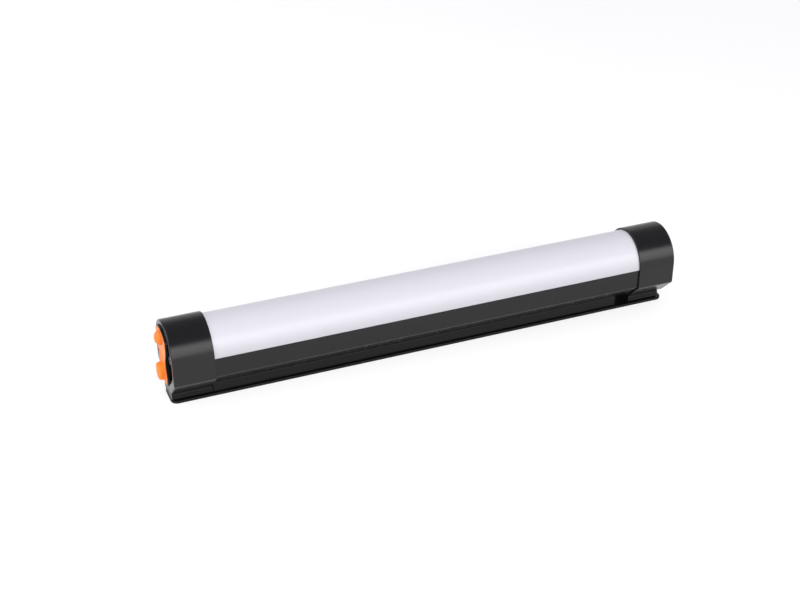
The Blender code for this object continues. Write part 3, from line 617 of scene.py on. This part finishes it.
def make_finishes():
    """One material for every slot of the record, by the slot's name."""
    return {
        "body_plastic": moulded_plastic(
            "body_plastic", (0.0035, 0.0035, 0.0038), roughness=0.25, grain_mm=0.22,
            grain_height=0.002 * MM, Specular_IOR_Level=0.38,
        ),
        "cap_plastic": moulded_plastic(
            "cap_plastic", (0.0032, 0.0032, 0.0036), roughness=0.24, grain_mm=0.2,
            grain_height=0.0015 * MM, Specular_IOR_Level=0.43,
        ),
        "base_plastic": moulded_plastic(
            "base_plastic", (0.002, 0.002, 0.0022), roughness=0.3, grain_mm=0.25,
            grain_height=0.003 * MM, Specular_IOR_Level=0.2,
        ),
        "inner_plastic": moulded_plastic(
            "inner_plastic", (0.02, 0.02, 0.021), roughness=0.5, grain_mm=0.3, grain_height=0.008 * MM,
        ),
        "cell_sleeve": moulded_plastic(
            "cell_sleeve", (0.02, 0.09, 0.26), roughness=0.3, grain_mm=0.5, grain_height=0.01 * MM,
        ),
        "orange_plastic": moulded_plastic(
            "orange_plastic", (0.76, 0.2, 0.024), roughness=0.4, grain_mm=0.2,
            grain_height=0.004 * MM, spread=0.06, Specular_IOR_Level=0.32,
        ),
        "opal_diffuser": opal_plastic("opal_diffuser", (0.588, 0.578, 0.624), roughness=0.3),
        "orange_rubber": soft_rubber(
            "orange_rubber", (0.79, 0.215, 0.02), roughness=0.5, Specular_IOR_Level=0.32,
        ),
        "seal_rubber": soft_rubber("seal_rubber", (0.015, 0.015, 0.015), roughness=0.7),
        "wire_red": soft_rubber("wire_red", (0.45, 0.015, 0.012), roughness=0.4),
        "wire_black": soft_rubber("wire_black", (0.012, 0.012, 0.012), roughness=0.4),
        "fastener_steel": drawn_metal(
            "fastener_steel", (0.09, 0.09, 0.1), roughness=0.35, stretch=(0.2, 0.2, 0.2),
        ),
        "socket_steel": drawn_metal(
            "socket_steel", (0.62, 0.62, 0.64), roughness=0.25, stretch=(6, 0.08, 0.08),
        ),
        "magnet_nickel": drawn_metal(
            "magnet_nickel", (0.66, 0.63, 0.56), roughness=0.2, stretch=(0.4, 0.4, 0.4),
        ),
        "carrier_aluminium": drawn_metal(
            "carrier_aluminium", (0.78, 0.79, 0.8), roughness=0.35, stretch=(30, 0.1, 0.1),
        ),
        "circuit_board": circuit_board(
            "circuit_board", mask=(0.01, 0.07, 0.03), trace=(0.03, 0.16, 0.06),
        ),
        "white_board": circuit_board(
            "white_board", mask=(0.82, 0.82, 0.8), trace=(0.7, 0.71, 0.69),
        ),
    }


def finish_frame_nodes():
    """Every CAD node takes the procedural finish of its slot in the record."""
    for subpart in frame["record"]["subparts"]:
        node = frame["nodes"][subpart["node"]]
        for slot in node.material_slots:
            slot.material = FINISHES[subpart["material_slot"]]


# ---------------------------------------------------------------- housing

def cap_ring(side, depth, offset, floor_z=None, slope_offset=None):
    """One ring of an end cap, depth below its end face and offset in from its outside."""
    if floor_z is None:
        floor_z = CAP_FLOOR_Z + offset
    corner = max(CAP_CORNER_ROUND - offset, CAP_LEAST_CORNER_ROUND)
    station = side * (HALF_LENGTH - depth)
    return [across(u, v, station) for u, v in hull_section(offset, floor_z, corner, slope_offset)]


def build_cap(name, side):
    """A moulded cup with a rounded outer edge, a recessed end panel and a rim around it."""
    recess = [(RECESS_DEPTH - rise, out) for rise, out in round_edge(RECESS_FLOOR_ROUND)]
    recess += [(depth, -out) for depth, out in reversed(round_edge(RIM_EDGE_ROUND))]
    rings = []
    for depth, shift in recess:
        slope_offset = RIM_SLOPE_WIDTH + shift
        rings.append(cap_ring(side, depth, RIM_WIDTH + shift, slope_offset=slope_offset))
    outside = round_edge(CAP_EDGE_ROUND)
    outside += [(CAP_LENGTH - depth, out) for depth, out in reversed(round_edge(CAP_INNER_EDGE_ROUND))]
    rings += [cap_ring(side, depth, offset) for depth, offset in outside]
    bore = STEP_IN - SEAT
    for depth in (CAP_LENGTH, RECESS_DEPTH + END_WALL):
        rings.append(cap_ring(side, depth, bore, BODY_FLOOR_Z - SEAT))
    return skin(name, rings)


def build_caps():
    """Both end caps; the left one's panel has holes for the charging receptacle and button stem."""
    left = build_cap("cap_shell_left", -1)
    face = -HALF_LENGTH + RECESS_DEPTH
    path = flare_path(face, face + END_WALL + CUT_OVERRUN, PANEL_HOLE_ROUND)
    low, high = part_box("charge_socket")
    half_width, half_height = high.y + SEAT, (high.z - low.z) / 2 + SEAT
    middle = (high.z + low.z) / 2
    mouth = loft("mouth", lambda inset: obround(middle, half_width, half_height, inset), path)
    low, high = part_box("power_button")
    stem_z = (high.z + low.z) / 2
    stem_hole = loft(
        "stem_hole", lambda inset: circle(0.0, stem_z, STEM_RADIUS + STEM_GAP - inset), path)
    cut(left, mouth, stem_hole)
    show(left, "cap_plastic", nodes=["left_end_cap"])
    right = build_cap("cap_shell_right", 1)
    show(right, "cap_plastic", nodes=["right_end_cap"])


def build_channel():
    """The channel: two walls with inner ledges for the light board, and the sloped underside."""
    half = BODY_RADIUS
    inner = half - WALL
    top = AXIS_Z - SEAM_GAP / 2
    inner_shift = slope_shift(STEP_IN + WALL)
    inner_floor_z = BODY_FLOOR_Z + CHANNEL_FLOOR
    ledge_z = AXIS_Z - LEDGE_DROP
    ledge_y = inner - LEDGE_WIDTH
    right = [
        (half, top, SEAM_ROUND),
        (inner, top, LEDGE_ROUND),
        (inner, ledge_z, 0.0),
        (ledge_y, ledge_z, LEDGE_ROUND),
        (ledge_y, ledge_z - LEDGE_THICKNESS, LEDGE_ROUND),
        (inner, ledge_z - LEDGE_ROOT_THICKNESS, 0.0),
        (inner, inner - inner_shift, CHANNEL_INNER_ROUND),
        (inner_floor_z + inner_shift, inner_floor_z, CHANNEL_INNER_ROUND),
    ]
    left = [(-y, z, radius) for y, z, radius in reversed(right)]
    corner_z = half - slope_shift(STEP_IN)
    floor_y = BODY_FLOOR_Z + slope_shift(STEP_IN)
    outside = [
        (-half, corner_z, BODY_CORNER_ROUND),
        (-floor_y, BODY_FLOOR_Z, BODY_CORNER_ROUND / 2),
        (floor_y, BODY_FLOOR_Z, BODY_CORNER_ROUND / 2),
        (half, corner_z, BODY_CORNER_ROUND),
    ]
    outline = fillet(right + left + outside)
    body = skin("channel_body", [[across(u, v, x) for u, v in outline] for x in (-BODY_END, BODY_END)])
    show(body, "body_plastic", nodes=["body_channel"])


def build_diffuser():
    """The half-round cover, with a locating lip inside each wall of the channel."""
    outer = BODY_RADIUS
    inner = outer - DIFFUSER_WALL
    seat_z = AXIS_Z + SEAM_GAP / 2
    lip_outer = outer - WALL - LIP_CLEARANCE
    lip_inner = lip_outer - LIP_WIDTH
    lip_z = AXIS_Z - LIP_DEPTH
    spring = math.degrees(math.asin((seat_z - AXIS_Z) / outer))
    inner_spring = math.degrees(math.acos(lip_inner / inner))
    crown = arc((0.0, AXIS_Z), outer, spring, 180 - spring, CROWN_STEPS)
    hollow = arc((0.0, AXIS_Z), inner, 180 - inner_spring, inner_spring, CROWN_STEPS)
    corners = [(*crown[0], SEAM_ROUND)]
    corners += [(u, v, 0.0) for u, v in crown[1:-1]]
    corners += [(*crown[-1], SEAM_ROUND), (-lip_outer, seat_z, 0.0)]
    corners += [(y, lip_z, LIP_EDGE_ROUND) for y in (-lip_outer, -lip_inner)]
    corners += [(u, v, 0.0) for u, v in hollow]
    corners += [(y, lip_z, LIP_EDGE_ROUND) for y in (lip_inner, lip_outer)]
    corners.append((lip_outer, seat_z, 0.0))
    outline = fillet(corners)
    lens = skin("diffuser_lens", [[across(u, v, x) for u, v in outline] for x in (-BODY_END, BODY_END)])
    show(lens, "opal_diffuser", nodes=["diffuser"])


# ---------------------------------------------------------------- base

def countersink(x, mouth_z):
    """A cutter for a countersunk hole that opens downwards at mouth_z."""
    taper = SINK_RADIUS - SINK_HOLE_RADIUS
    path = [
        (mouth_z - CUT_OVERRUN, 0.0),
        (mouth_z, 0.0),
        (mouth_z + taper, taper),
        (mouth_z + SINK_HOLE_DEPTH, taper),
    ]
    return loft("sink", lambda inset: circle(x, 0.0, SINK_RADIUS - inset, SCREW_SIDES), path, level)


def build_rail(screw_xs):
    """The flat rail, with a countersunk hole for each screw."""
    low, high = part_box("base_rail")
    rail = loft(
        "rail_plate", lambda inset: rectangle(low.x, low.y, high.x, high.y, RAIL_CORNER, inset),
        block_path(low.z, high.z, RAIL_EDGE_ROUND / 2, RAIL_EDGE_ROUND), level,
    )
    cut(rail, *[countersink(x, low.z) for x in screw_xs])
    show(rail, "base_plastic", nodes=["base_rail"])


def spine_outline(low, high, inset):
    """The spine's section: sides that lean in a little towards the rail, and soft top edges."""
    half = high.y - inset
    foot = half - SPINE_LEAN
    top = high.z - inset
    shoulder_z = high.z - SPINE_SHOULDER_DROP
    return fillet([
        (-foot, low.z, SPINE_FOOT_ROUND), (foot, low.z, SPINE_FOOT_ROUND),
        (half, shoulder_z, SPINE_SHOULDER_ROUND), (half, top, SPINE_TOP_ROUND),
        (-half, top, SPINE_TOP_ROUND), (-half, shoulder_z, SPINE_SHOULDER_ROUND),
    ])


def build_spine():
    """The long block between rail and channel."""
    low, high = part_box("magnet_spine")
    spine = loft(
        "spine_block", lambda inset: spine_outline(low, high, inset),
        block_path(low.x, high.x, SPINE_LEFT_END_ROUND, SPINE_RIGHT_END_ROUND),
    )
    show(spine, "base_plastic", nodes=["magnet_spine"])


def riser_outline(low, high, inset):
    """The riser's section: a block on a narrower neck, with soft top edges."""
    half = high.y - inset
    neck = high.y - RISER_UNDERCUT_DEPTH - inset
    neck_z = RISER_UNDERCUT_Z - RISER_UNDERCUT_SLOPE
    top = high.z - inset
    return fillet([
        (-neck, low.z, SEAT), (neck, low.z, SEAT),
        (neck, neck_z, SEAT), (half, RISER_UNDERCUT_Z, RISER_UNDERCUT_ROUND),
        (half, top, RISER_TOP_ROUND), (-half, top, RISER_TOP_ROUND),
        (-half, RISER_UNDERCUT_Z, RISER_UNDERCUT_ROUND), (-neck, neck_z, SEAT),
    ])


def build_risers():
    """The blocks between the rail and the two end caps."""
    for label, side in (("left", -1), ("right", 1)):
        low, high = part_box(f"{label}_riser")
        outer, inner = (low.x, high.x) if side < 0 else (high.x, low.x)
        riser = loft(
            f"riser_block_{label}", lambda inset: riser_outline(low, high, inset),
            block_path(outer, inner, RISER_OUTER_END_ROUND, RISER_INNER_END_ROUND),
        )
        show(riser, "base_plastic", nodes=[f"{label}_riser"])


def cut_hex(screw, u, v, radius, face, depth, place=across):
    """Sinks a hexagon socket into a screw's head; a negative depth runs down the axis."""
    socket = loft(
        "hex", lambda inset: circle(u, v, radius - inset, HEX_SIDES),
        flare_path(face, face + depth, HEX_EDGE_ROUND), place,
    )
    cut(screw, socket)


def build_rail_screws():
    """Countersunk screws in the rail's underside; returns their places along the tube."""
    places = []
    for index in range(1, 5):
        node = f"rail_screw_{index}"
        low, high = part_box(node)
        x = (low.x + high.x) / 2
        places.append(x)
        head = high.x - x
        taper = head - RAIL_SCREW_SHANK_RADIUS
        path = [
            (low.z, RAIL_SCREW_FACE_CHAMFER),
            (low.z + RAIL_SCREW_FACE_CHAMFER, 0.0),
            (low.z + taper, taper),
            (high.z - RAIL_SCREW_TIP_LENGTH, taper),
            (high.z, taper + RAIL_SCREW_TIP_TAPER),
        ]
        screw = loft(
            f"base_screw_{index}",
            lambda inset: circle(x, 0.0, head - inset, SCREW_SIDES), path, level,
        )
        cut_hex(screw, x, 0.0, RAIL_SCREW_HEX_RADIUS, low.z, RAIL_SCREW_HEX_DEPTH, level)
        show(screw, "fastener_steel", nodes=[node])
    return places


# ---------------------------------------------------------------- ends

def cover_outline(low, high, inset):
    """The port cover's shape, moved inwards by inset: rounded below, nearly square at the hinge."""
    foot = max(COVER_CORNER - inset, SEAT)
    top = max(COVER_HINGE_CORNER - inset, SEAT)
    y0, z0, y1, z1 = low.y + inset, low.z + inset, high.y - inset, high.z - inset
    return fillet([(y0, z0, foot), (y1, z0, foot), (y1, z1, top), (y0, z1, top)])


def control_openings(face, back):
    """Cutters for the button's hole and the port's opening, flared where they meet the face."""
    low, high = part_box("power_button")
    middle = (low.z + high.z) / 2
    hole = high.y + RUNNING_GAP
    path = flare_path(face, back, OPENING_ROUND)
    button_hole = loft("button_hole", lambda inset: circle(0.0, middle, hole - inset), path)
    low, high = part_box("port_cover")
    cover_hole = loft("cover_hole", lambda inset: cover_outline(low, high, inset - RUNNING_GAP), path)
    return button_hole, cover_hole


def build_bezel():
    """The orange plate, let into the raised black base that stands in the end's recess."""
    low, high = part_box("end_bezel")
    base_low, base_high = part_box("bezel_base")
    lip = low.x + BEZEL_PROUD_OF_LIP
    seam = high.x
    back = -HALF_LENGTH + RECESS_DEPTH - SEAT
    plate = loft(
        "bezel_plate", lambda inset: bezel_outline(low, high, inset),
        block_path(low.x, seam, BEZEL_EDGE_ROUND, SEAT),
    )
    cut(plate, *control_openings(low.x, seam + CUT_OVERRUN))
    show(plate, "orange_plastic", nodes=["end_bezel"])
    base = loft(
        "bezel_housing", lambda inset: bezel_outline(base_low, base_high, inset),
        block_path(lip, back, BEZEL_LIP_ROUND, SEAT),
    )
    pocket = [(lip - CUT_OVERRUN, -SEAT), (seam + SEAT, -SEAT)]
    bed = loft("bed", lambda inset: bezel_outline(low, high, inset), pocket)
    cut(base, bed, *control_openings(lip, back + CUT_OVERRUN))
    show(base, "cap_plastic", nodes=["bezel_base"])


def build_button():
    """A domed head with a soft edge, on a slim stem."""
    low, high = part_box("power_button")
    radius = high.y
    z = (low.z + high.z) / 2
    back = -HALF_LENGTH + BUTTON_BACK_DEPTH
    path = dome_path(low.x, radius, BUTTON_DOME, BUTTON_EDGE_ROUND, BUTTON_DOME_RINGS)
    path += [(back, 0.0), (back, radius - STEM_RADIUS), (high.x, radius - STEM_RADIUS)]
    button = loft("button_cap", lambda inset: circle(0.0, z, radius - inset, BUTTON_SIDES), path)
    show(button, "orange_plastic", "button", ["power_button"])


def build_cover():
    """A soft flap that fills its opening, with a rounded pull tab standing proud of it."""
    low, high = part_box("port_cover")
    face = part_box("end_bezel")[0].x
    flap = loft(
        "port_flap", lambda inset: cover_outline(low, high, inset),
        block_path(face, high.x, COVER_EDGE_ROUND, COVER_EDGE_ROUND),
    )
    half = TAB_HALF_WIDTH
    foot_z = low.z + TAB_FOOT_ABOVE_COVER
    path = dome_path(low.x, half, TAB_DOME, TAB_EDGE_ROUND, TAB_DOME_RINGS, TAB_EDGE_STEPS)
    path.append((face + TAB_ROOT, 0.0))
    tab = loft(
        "tab", lambda inset: rectangle(-half, foot_z, half, TAB_TOP_Z, TAB_CORNER, inset), path)
    fuse(flap, tab)
    show(flap, "orange_rubber", "cover", ["port_cover"])


def build_receptacle():
    """The charging receptacle: a drawn shell with a rounded lip and a floor, and its tongue."""
    low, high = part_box("charge_socket")
    middle, half_height = (low.z + high.z) / 2, (high.z - low.z) / 2
    lip = RECEPTACLE_WALL / 2
    floor = high.x - RECEPTACLE_FLOOR
    path = [(high.x, lip), (high.x - lip, 0.0)]
    path += [(low.x + depth, inset) for depth, inset in reversed(round_edge(lip))]
    path += [(low.x + depth, RECEPTACLE_WALL - inset) for depth, inset in round_edge(lip)]
    path += [(floor, RECEPTACLE_WALL), (floor, half_height - RECEPTACLE_FLOOR_CORE)]
    shell = loft("socket_shell", lambda inset: obround(middle, high.y, half_height, inset), path)
    show(shell, "socket_steel", nodes=["charge_socket"])
    half, thick = TONGUE_HALF_WIDTH, TONGUE_HALF_THICKNESS
    tongue = loft(
        "socket_tongue",
        lambda inset: rectangle(-half, middle - thick, half, middle + thick, TONGUE_CORNER, inset),
        block_path(low.x + TONGUE_SET_BACK, high.x - TONGUE_ROOT, TONGUE_TIP_ROUND, SEAT),
    )
    show(tongue, "inner_plastic")


def build_cap_screws():
    """Pan-head screws in the end panels, with hexagon sockets."""
    for label, side in (("left", -1), ("right", 1)):
        for index in (1, 2):
            node = f"{label}_cap_screw_{index}"
            low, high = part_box(node)
            y, z = (low.y + high.y) / 2, (low.z + high.z) / 2
            head = high.y - y
            shank = head - CAP_SCREW_SHANK_RADIUS
            face, tip = (low.x, high.x) if side < 0 else (high.x, low.x)
            seat = side * (HALF_LENGTH - RECESS_DEPTH)
            path = [(face - side * depth, inset) for depth, inset in round_edge(CAP_SCREW_HEAD_ROUND)]
            path += [(seat, 0.0), (seat, shank), (tip, shank)]
            screw = loft(
                f"end_screw_{label}_{index}",
                lambda inset: circle(y, z, head - inset, SCREW_SIDES), path,
            )
            cut_hex(screw, y, z, CAP_SCREW_HEX_RADIUS, face, -side * CAP_SCREW_HEX_DEPTH)
            show(screw, "fastener_steel", nodes=[node])


def build_blank():
    """The far end's plain plate."""
    low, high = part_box("end_blank")
    back = HALF_LENGTH - RECESS_DEPTH + SEAT
    blank = loft(
        "blank_plate", lambda inset: bezel_outline(low, high, inset),
        block_path(high.x, back, BLANK_EDGE_ROUND, SEAT),
    )
    show(blank, "cap_plastic", nodes=["end_blank"])


# ---------------------------------------------------------------- studio

def build_floor():
    """Faintly mottled white paper that glows a little, so that it comes out white all over."""
    mesh = bpy.data.meshes.new("studio_floor")
    half = FLOOR_SIZE / 2
    corners = [(-half, -half, 0), (half, -half, 0), (half, half, 0), (-half, half, 0)]
    mesh.from_pydata(corners, [], [(0, 1, 2, 3)])
    floor = bpy.data.objects.new("studio_floor", mesh)
    bpy.context.scene.collection.objects.link(floor)
    finish = Finish("studio_paper", Roughness=0.8, Specular_IOR_Level=0.1, Emission_Strength=FLOOR_GLOW)
    first, second = [(shade, shade, shade) for shade in FLOOR_SHADES]
    finish.colour(finish.noise([FLOOR_CLOUDS_PER_METRE] * 3), first, second)
    mesh.materials.append(finish.material)
    floor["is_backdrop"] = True


def build_sky():
    """Bright all round near the horizon, dimmer overhead."""
    world = bpy.data.worlds.new("studio")
    bpy.context.scene.world = world
    world.use_nodes = True
    tree = world.node_tree
    background = tree.nodes["Background"]
    background.inputs["Strength"].default_value = SKY_STRENGTH
    direction = tree.nodes.new("ShaderNodeTexCoord").outputs["Generated"]
    split = tree.nodes.new("ShaderNodeSeparateXYZ")
    ramp = tree.nodes.new("ShaderNodeValToRGB")
    ramp.color_ramp.elements[0].position = math.sin(math.radians(SKY_HORIZON_TOP))
    ramp.color_ramp.elements[0].color = (1.0, 1.0, 1.0, 1.0)
    ramp.color_ramp.elements[1].position = math.sin(math.radians(SKY_FADE_END))
    overhead = (SKY_OVERHEAD, SKY_OVERHEAD, SKY_OVERHEAD * SKY_OVERHEAD_BLUE, 1.0)
    ramp.color_ramp.elements[1].color = overhead
    tree.links.new(direction, split.inputs["Vector"])
    tree.links.new(split.outputs["Z"], ramp.inputs["Fac"])
    tree.links.new(ramp.outputs["Color"], background.inputs["Color"])


def area_light(name, place, facing, width, height, radiance):
    """A rectangular light that shines along facing with the given radiance; returns its data."""
    light = bpy.data.lights.new(name, "AREA")
    light.shape = "RECTANGLE"
    light.size = width
    light.size_y = height
    light.energy = radiance * math.pi * width * height
    lamp = bpy.data.objects.new(name, light)
    lamp.location = place
    lamp.rotation_euler = Vector(facing).to_track_quat("-Z", "Y").to_euler()
    lamp.visible_camera = False
    bpy.context.scene.collection.objects.link(lamp)
    return light


def build_lights():
    """Stacked upright softboxes in front, whose mirror image is the soft band along the tube, and
    a shadowless fill from high on the control end's side, which isn't mirrored in the crown."""
    heights = [SOFTBOX_DISTANCE * math.tan(math.radians(edge)) for edge in SOFTBOX_EDGES]
    for low, high, radiance in zip(heights, heights[1:], SOFTBOX_RADIANCE):
        place = SOFTBOX_MIDDLE_X, -SOFTBOX_DISTANCE, (high + low) / 2
        area_light("softbox", place, (0.0, 1.0, 0.0), SOFTBOX_WIDTH, high - low, radiance)
    facing = [-value for value in FILL_PLACE]
    fill = area_light("fill", FILL_PLACE, facing, FILL_SIZE, FILL_SIZE, FILL_RADIANCE)
    fill.use_shadow = False


def build_camera():
    """The photo's view, from high in front of the control end."""
    lens = bpy.data.cameras.new("camera")
    lens.sensor_width = SENSOR_WIDTH_MM
    lens.lens = CAMERA_LENS_MM
    lens.clip_start = CAMERA_NEAR
    camera = bpy.data.objects.new("camera", lens)
    camera.location = CAMERA_PLACE
    camera.rotation_euler = (math.radians(90.0 - CAMERA_DOWN), 0.0, math.radians(CAMERA_TURN))
    bpy.context.scene.collection.objects.link(camera)
    bpy.context.scene.camera = camera


def build_studio():
    bpy.context.scene.view_settings.view_transform = "Standard"
    build_floor()
    build_sky()
    build_lights()
    build_camera()


FINISHES = make_finishes()
finish_frame_nodes()
build_caps()
build_channel()
build_diffuser()
build_rail(build_rail_screws())
build_spine()
build_risers()
build_bezel()
build_button()
build_cover()
build_receptacle()
build_cap_screws()
build_blank()
build_studio()


def corners(bounds):
    return [list(corner) for corner in bounds]


{"cad": corners(cad_bounds), "visual": corners(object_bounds())}
